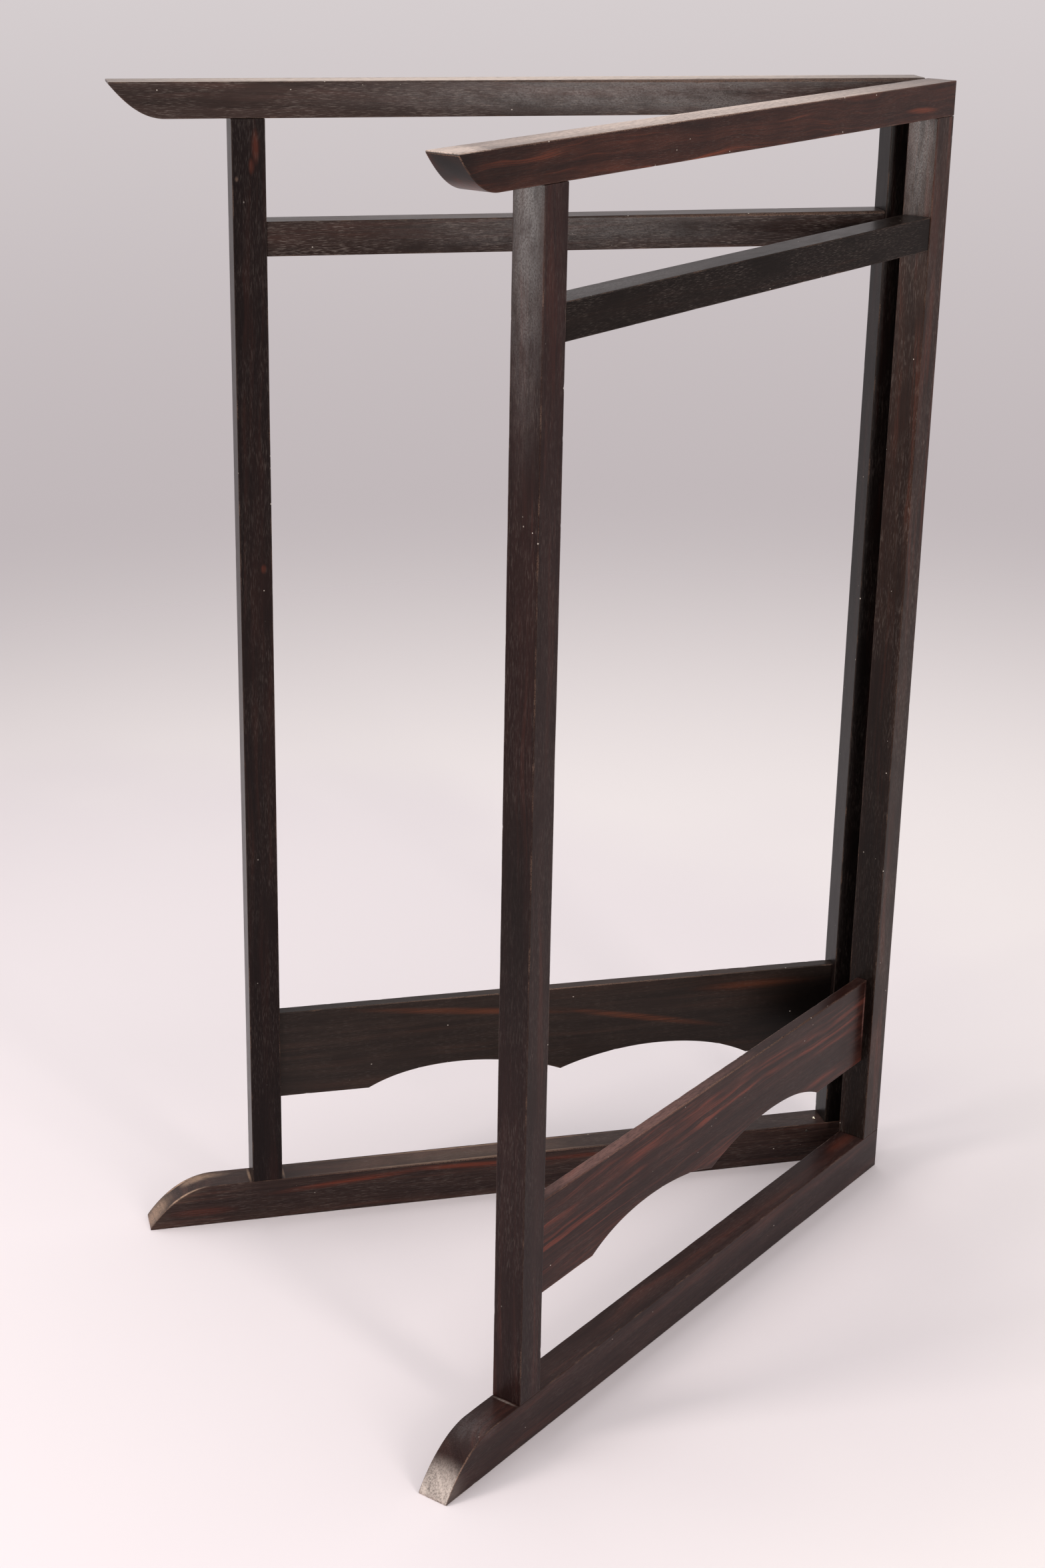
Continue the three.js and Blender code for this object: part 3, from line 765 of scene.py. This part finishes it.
outer_post_looks = {
    "left": dict(
        seed=31, dark=(18, 10, 10), brown=(32, 20, 18), ruddiness=0.05, flecks=0.14,
        streaks=[((1426, 1, 833), (26, 8, 7), 0, 0.35), ((1404, 1, 838), (13, 8, 5), 0, 0.3),
                 ((915, 1, 832), (8, 6, 5), 0, 0.4)],
        pale=[((1389, 1, 856), (4, 4, 3), 0, 0.4)],
    ),
    "right": dict(
        seed=32, dark=(25, 12, 11), brown=(44, 26, 24), ruddiness=0.1, flecks=0.15,
        # painted shade: the end face is painted darker about its middle height, between the sheen
        # above and the floor's light below
        stains_and_shade=[((660, 20, 864), (280, 40, 9), 0, 0.65)],
        polish=[((1400, 20, 865), (300, 30, 14), 0, 1.0)],
    ),
}
for side, looks in outer_post_looks.items():
    node = side + "_outer_post"
    points, from_edge = post_blank(node, side, looks["seed"])
    add_wood(node, points, from_edge, looks, upright=True)


# ---- The mid rails ------------------------------------------------------------------------------
# A rail for a sash or a folded garment is tenoned between the posts, a hand's breadth under the
# top rail. On the left panel its inner face is rubbed a little round, and its upper edge more so
# towards the hinges.

rubbed_round = 0.0012  # how far back its edges are from the middle of its face
mid_edge_wear = 0.0025  # more on its upper edge, at the hinges
mid_wear_run = (0.05, 0.35, 0.6)  # along the rail, from full wear through most of it to none
wear_run_shares = (1, 0.8, 0)

mid_rail_looks = {
    "left": dict(
        seed=41, dark=(29, 20, 18), brown=(54, 40, 36), ruddiness=0.1, flecks=0.45,
        rubbed=[((190, 0, 1338), (330, 8, 10), 0, 0.4)],
        # painted shade: the inner face is painted darker at the hinge end
        stains_and_shade=[((60, 0, 1312), (130, 8, 40), 0, 0.6)],
        polish=[((430, 0, 1320), (340, 8, 40), 0, 0.8)],
    ),
    "right": dict(
        seed=42, dark=(20, 15, 13), brown=(35, 27, 24), ruddiness=0.05, flecks=0.2, dry_ior=1.13,
        polish=[((780, 20, 1340), (380, 40, 4), 0, 0.9)],
    ),
}
for side, looks in mid_rail_looks.items():
    node = side + "_mid_rail"
    lowest, highest = panel_box(node)
    start_post, end_post = panel_box(side + "_hinge_post"), panel_box(side + "_outer_post")
    ends = (start_post[1][0] + joint_gap, end_post[0][0] - joint_gap)
    tenons = [tenon_sides(end, way, tip_box(node, 0, way), (0, 1, 2))
              for end, way in zip(ends, (-1, 1))]
    stations = spaced(*ends)
    arrises = worn_arrises(stations, looks["seed"], chips=8)
    if side == "left":
        arrises[3] += mid_edge_wear * np.interp(stations, mid_wear_run, wear_run_shares)
    points, from_edge = carried_bar(stations, stations * 0 + lowest[2], stations * 0 + highest[2],
                                    lowest[1], highest[1], arrises, end_arris / 2, tenons)
    if side == "left":
        shaft = slice(len(tenons[0]), len(points) - len(tenons[1]))
        bulge(points[shaft], lowest[2], highest[2], rubbed_round)
    add_wood(node, points, from_edge, looks)


# ---- The wave-cut boards ------------------------------------------------------------------------
# A thin board stands in grooves in the posts, above the base rail. It is straight on top, and
# sawn below in two arches that meet in a cusp. Its wood is strongly striped with red-brown.

arch_span = 0.268  # one arch, from the cusp to its outer end
cusp_rise = 0.0015
inner_handle = (0.070, 0.030)  # along from the cusp, and up from the level ends
outer_handle = (0.190, 0.042)

board_looks = {
    "left": dict(
        seed=51, dark=(34, 28, 26), brown=(50, 40, 36), ruddy=(112, 60, 38), ruddiness=0.05,
        heart=(-30, -420), bands=12.0, flecks=0.1,
        streaks=[((560, 10, 279), (190, 9, 7), 0.1, 0.45), ((320, 10, 247), (150, 9, 7), 0.2, 0.5),
                 ((150, 10, 281), (120, 9, 10), 0, 0.4)],
        rubbed=[((430, 20, 301), (460, 16, 4), 0, 0.5)],
        # painted shade: the board is painted darker towards the hinge post
        stains_and_shade=[((60, 12, 240), (130, 10, 100), 0, 0.9)],
    ),
    "right": dict(
        seed=52, dark=(27, 12, 10), brown=(58, 33, 28), ruddy=(112, 53, 40), ruddiness=0.75,
        heart=(40, -380), bands=8.5, sway=34.0, flecks=0.1,
        # The second pale patch, a thin line at the board's end by the hinge post, is a painted
        # highlight.
        pale=[((600, 20, 301), (330, 16, 3), 0, 0.6), ((45, 28, 250), (2.5, 6, 60), 0, 0.6)],
        bare_and_sheen=(152, 112, 104),
        rubbed=[((430, 20, 301), (460, 16, 4), 0, 0.5)],
    ),
}
for side, looks in board_looks.items():
    node = side + "_wave_board"
    lowest, highest = panel_box(node)
    middle = (lowest[0] + highest[0]) / 2
    arch = np.array(((0, cusp_rise), inner_handle, outer_handle, (arch_span, 0)))
    curve = handled_curve(arch)
    arch_ends = (middle - arch_span, middle, middle + arch_span)
    stations = np.union1d(spaced(lowest[0], highest[0]), arch_ends)
    low = lowest[2] + np.interp(abs(stations - middle), curve[:, 0], curve[:, 1])
    arrises = worn_arrises(stations, looks["seed"], chips=14, fresh=0.0009, wander=0.0005,
                           chip_depth=0.0012)
    points, from_edge = carried_bar(stations, low, stations * 0 + highest[2], lowest[1], highest[1],
                                    arrises, end_arris)
    add_wood(node, points, from_edge, looks)


# ---- The top rails ------------------------------------------------------------------------------
# The rail that carries the robe lies over both posts, whose tenons stand in it. Past the outer
# post its underside is swept up in a curve to a pointed tip. Its top face is worn pale, and
# painted paler still as a painted sheen.

tip_run = 0.065  # the tip's curve is given like the toe's, but turned upside down
tip_shoulder = 0.027
tip_heel = 0.018
tip_heel_rise = 0.024
tip_nose = 0.002
top_edge_wear = 0.003  # more on the left rail's upper inner edge, at the hinges
top_wear_run = (0.05, 0.4, 0.7)

top_rail_looks = {
    "left": dict(
        seed=61, dark=(41, 31, 28), brown=(70, 55, 51), ruddiness=0.1, flecks=0.5,
        # the pale top face: partly wear, partly a painted sheen
        pale=[((500, 20, 1500.3), (780, 200, 1), 0, 1.5)],
        bare_and_sheen=(218, 200, 188),
        rubbed=[((260, 0, 1499), (420, 8, 8), 0, 0.35)],
        # painted shade: the inner face is painted darker towards the tip, where its sheen fades
        stains_and_shade=[((990, 0, 1478), (150, 6, 40), 0, 0.3)],
        polish=[((330, 0, 1482), (540, 8, 40), 0, 1.1)],
    ),
    "right": dict(
        seed=62, dark=(31, 15, 11), brown=(71, 38, 28), ruddy=(122, 58, 36), ruddiness=0.75,
        sway=60.0, flecks=0.12,
        streaks=[((84, 41, 1470), (50, 12, 5), 0.05, 0.6)],
        # the pale top face and tip: partly wear, partly a painted sheen
        pale=[((540, 20, 1500.3), (760, 200, 1), 0, 1.3),
              ((985, 20, 1500.5), (70, 60, 2.5), 0, 1.5)],
        bare_and_sheen=(217, 196, 184),
        rubbed=[((984, 28, 1499), (50, 40, 18), 0, 0.6), ((540, 41, 1500), (620, 7, 6), 0, 0.5)],
        stains_and_shade=[((1006, 20, 1480), (80, 60, 44), 0, 0.95), ((930, 41, 1480), (80, 8, 30), 0, 0.5),
                ((850, 41, 1470), (70, 8, 20), 0, 0.35), ((620, 41, 1492), (110, 8, 9), 0, 0.3)],
        polish=[((470, 20, 1501), (700, 60, 4), 0, 1.0)],
    ),
}
for side, looks in top_rail_looks.items():
    node = side + "_top_rail"
    lowest, highest = panel_box(node)
    tips, marks = post_sockets(side, 1)
    stations = spaced(lowest[0], highest[0] - nose_wear, marks)
    tip = handled_curve((
        (highest[0] - tip_run, lowest[2]),
        (highest[0] - tip_run + tip_shoulder, lowest[2]),
        (highest[0] - tip_heel, highest[2] - tip_heel_rise),
        (highest[0], highest[2] - tip_nose),
    ))
    low = np.interp(stations, tip[:, 0], tip[:, 1])
    arrises = worn_arrises(stations, looks["seed"], chips=12, fresh=0.0009, wander=0.0005,
                           chip_depth=0.0011)
    if side == "left":
        arrises[3] += top_edge_wear * np.interp(stations, top_wear_run, wear_run_shares)
    points, from_edge = carried_bar(stations, low, stations * 0 + highest[2], lowest[1], highest[1],
                                    arrises, end_arris)
    if side == "left":
        bulge(points, lowest[2], highest[2], rubbed_round)
    for (low, high), first, last in zip(tips, marks[::2], marks[1::2]):
        sides = (low[1] - joint_gap, high[1] + joint_gap)
        sink(points, from_edge, 0, first, last, sides, high[2] + joint_gap)
    add_wood(node, points, from_edge, looks)


# ---- The hinges ---------------------------------------------------------------------------------
# Two brass butt hinges join the panels. Their leaves are let into the posts' end faces, with
# three knuckles on the left one and two on the right, and a riveted pin runs through all five.

def metal(name, bright, dull, tarnish, roughness, spot):
    """Worn metal: bright, and dulled in spots. Tarnish, 0 to 1, is how much of it they cover."""
    material = bpy.data.materials.new(name)
    start = clear_tree(material)
    x, y, z = [part * millimetres for part in start.node("TexCoord", output="Object").split()]
    patch = start.noise(x / spot, y / spot, z / spot, detail=4.0, roughness=0.6)
    grit = start.noise(x / 0.35, y / 0.35, z / 0.35)
    brushed = start.noise(x / 0.3, y / 0.3, z / 9)
    shift = tarnish * 0.3
    cover = (patch + (grit - 0.5) * 0.3).step(0.62 - shift, 0.78 - shift)
    colour = cover.mix(screen_colour(*bright), screen_colour(*dull))
    relief = brushed * 0.02 + grit * 0.02 + cover * 0.02
    surface = start.node("BsdfPrincipled", {
        "Base Color": colour,
        "Metallic": 1.0 - cover * 0.35,
        "Roughness": cover * 0.3 + grit * 0.1 + (roughness - 0.05),
        "Normal": start.node("Bump", {"Height": relief, "Distance": 0.001, "Strength": 0.6}),
    })
    start.node("OutputMaterial", {"Surface": surface})
    return material


def set_finish(node, material):
    """Gives a CAD node's object its finish."""
    frame["nodes"][node].material_slots[0].material = material


turned_sides = 32
dome_rings = 7
dome_end = pi / 2 * 0.94  # short of the crown by a small flat
point_radius = 0.0001


def turned_piece(node, axis, profile, material):
    """A piece turned about one of the panel's axes, in place of its CAD node.

    The profile has (height, radius) pairs along the axis, upwards, and a small flat at each end.
    """
    side = "right" if node.startswith("right") else "left"
    centre = sum(panel_box(node)) / 2
    angles = np.linspace(0, 2 * pi, turned_sides, endpoint=False)
    heights, radii = np.array(profile).T
    own = np.empty((len(profile), turned_sides, 3))
    own[..., axis] = heights[:, None]
    own[..., (axis + 1) % 3] = centre[(axis + 1) % 3] + np.outer(radii, np.cos(angles))
    own[..., (axis + 2) % 3] = centre[(axis + 2) % 3] + np.outer(radii, np.sin(angles))
    faces = ring_faces(len(profile), turned_sides, side == "left")
    points = stand_axes(side, own.reshape(-1, 3))
    add_piece(node + "_turned", node, points, faces, material, side + "_panel")


def dome(base, rise, radius):
    """A quarter ellipse from a head's rim to near its crown, as (height, radius) pairs."""
    angles = np.linspace(0, dome_end, dome_rings)
    return [(base + rise * sin(angle), radius * cos(angle)) for angle in angles]


hinge_brass = metal("hinge_brass_finish", (150, 122, 74), (112, 90, 58),
                    tarnish=0.9, roughness=0.36, spot=9.0)
pin_radius = 0.0015
pin_head = 0.0018
for level in ("lower", "upper"):
    for side in panel_sides:
        set_finish(f"{side}_{level}_hinge_leaf", hinge_brass)
    node = level + "_hinge_pin"
    lowest, highest = panel_box(node)
    head_radius = (highest[0] - lowest[0]) / 2
    crown = dome(highest[2] - pin_head, pin_head, head_radius)
    foot = [(lowest[2] + highest[2] - height, radius) for height, radius in reversed(crown)]
    shank = [(lowest[2] + pin_head, pin_radius), (highest[2] - pin_head, pin_radius)]
    turned_piece(node, 2, foot + shank + crown, hinge_brass)


# ---- The screws ---------------------------------------------------------------------------------
# Three countersunk brass screws hold each leaf. Their heads lie flush with it, and their slots
# are turned as they were left.

screw_brass = metal("screw_brass_finish", (176, 147, 94), (112, 90, 58),
                    tarnish=0.5, roughness=0.32, spot=3.0)
for node in frame["nodes"]:
    if "_leaf_screw_" in node:
        set_finish(node, screw_brass)


# ---- The tack and the nail ----------------------------------------------------------------------
# A bright round-headed tack stands in the top of the left base rail, close to the hinge post, and
# a dark flat nail head shows on its inner face.

tack_shank = 0.0008
tack_point = 0.0028
node = "left_base_rail_tack"
lowest, highest = panel_box(node)
head_base = panel_box("left_base_rail")[1][2] + joint_gap
tack_profile = [(lowest[2], point_radius), (lowest[2] + tack_point, tack_shank),
                (head_base, tack_shank)]
tack_profile += dome(head_base, highest[2] - head_base, (highest[0] - lowest[0]) / 2)
tack_metal = metal("tack_finish", (235, 226, 202), (150, 128, 92),
                   tarnish=0.1, roughness=0.18, spot=2.5)
turned_piece(node, 2, tack_profile, tack_metal)

nail_shank = 0.001
nail_point = 0.0033
node = "left_base_rail_nail"
lowest, highest = panel_box(node)
head_radius = (highest[0] - lowest[0]) / 2
head_back = panel_box("left_base_rail")[0][1] - joint_gap
crown = dome(head_back, head_back - lowest[1], head_radius)
nail_profile = [(2 * head_back - height, radius) for height, radius in reversed(crown)]
nail_profile += [(head_back, nail_shank), (highest[1] - nail_point, nail_shank),
                 (highest[1], point_radius)]
nail_iron = metal("nail_finish", (92, 86, 80), (40, 36, 33),
                  tarnish=0.7, roughness=0.5, spot=1.5)
turned_piece(node, 1, nail_profile, nail_iron)
